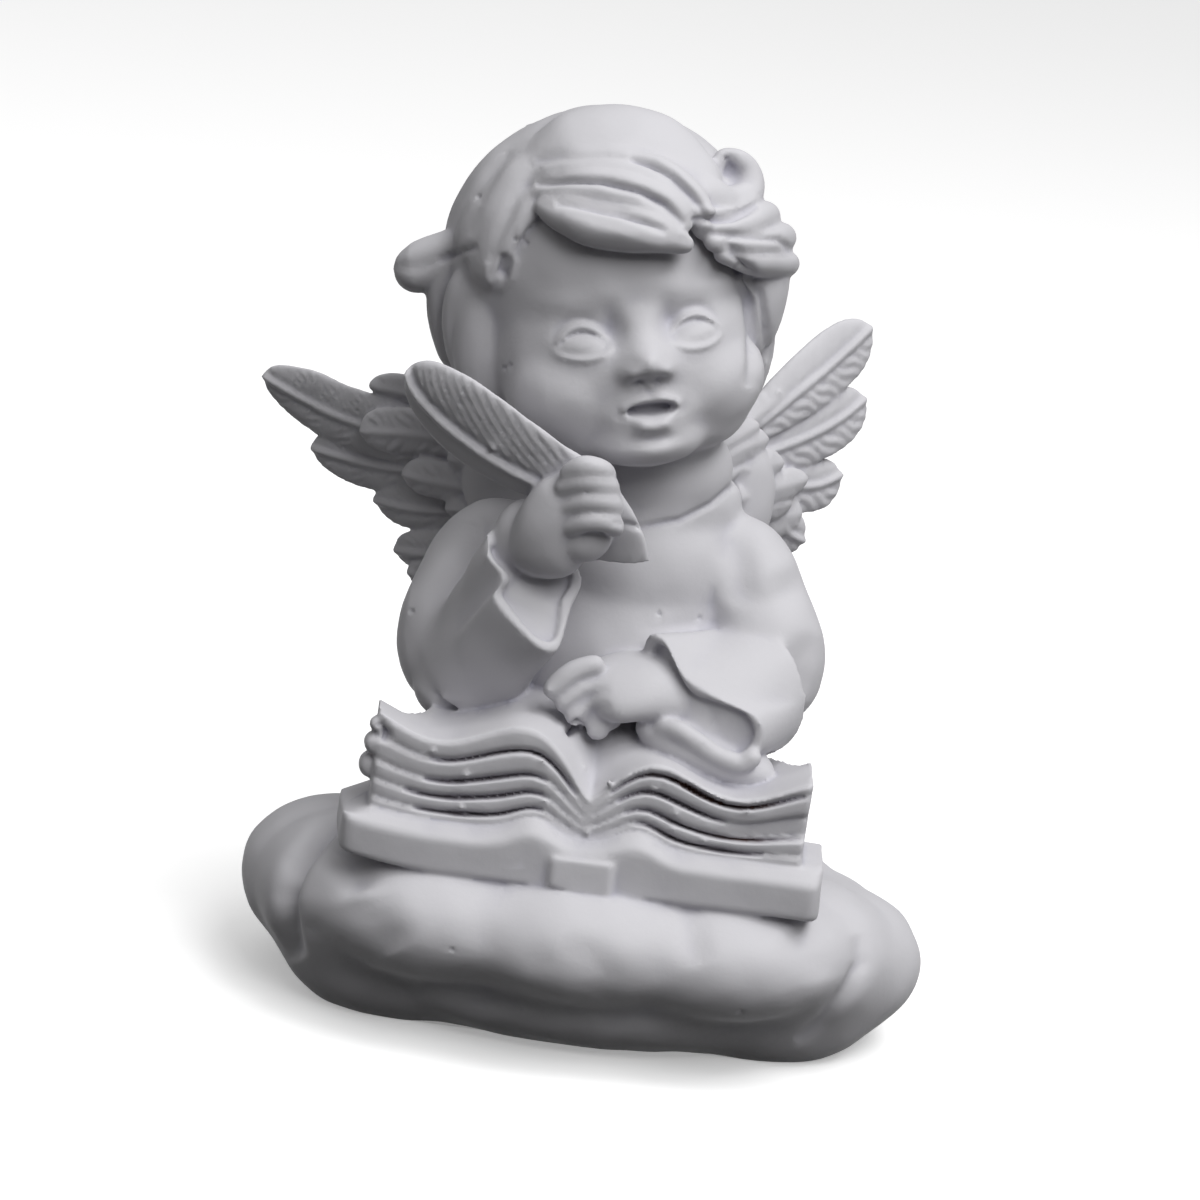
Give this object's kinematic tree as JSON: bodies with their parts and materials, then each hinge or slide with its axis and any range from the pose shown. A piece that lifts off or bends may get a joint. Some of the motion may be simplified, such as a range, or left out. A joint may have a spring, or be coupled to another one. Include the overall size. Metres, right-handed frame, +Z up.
{
  "type": "angel figurine",
  "caption": "Small cast plaster cherub with wings, writing with a quill over an open book on a puffy cloud base.",
  "frame": {"origin": "middle of the flat underside of the cloud base", "axes": "+X to the viewer's right, +Y from the book to the figure's back, +Z up out of the underside"},
  "size_m": [0.0723, 0.0515, 0.0885],
  "materials": {
    "plaster": "bare matt cast plaster, off-white with a cool grey cast"
  },
  "bodies": {
    "root": {"angel_figurine": "plaster"}
  },
  "joints": []
}
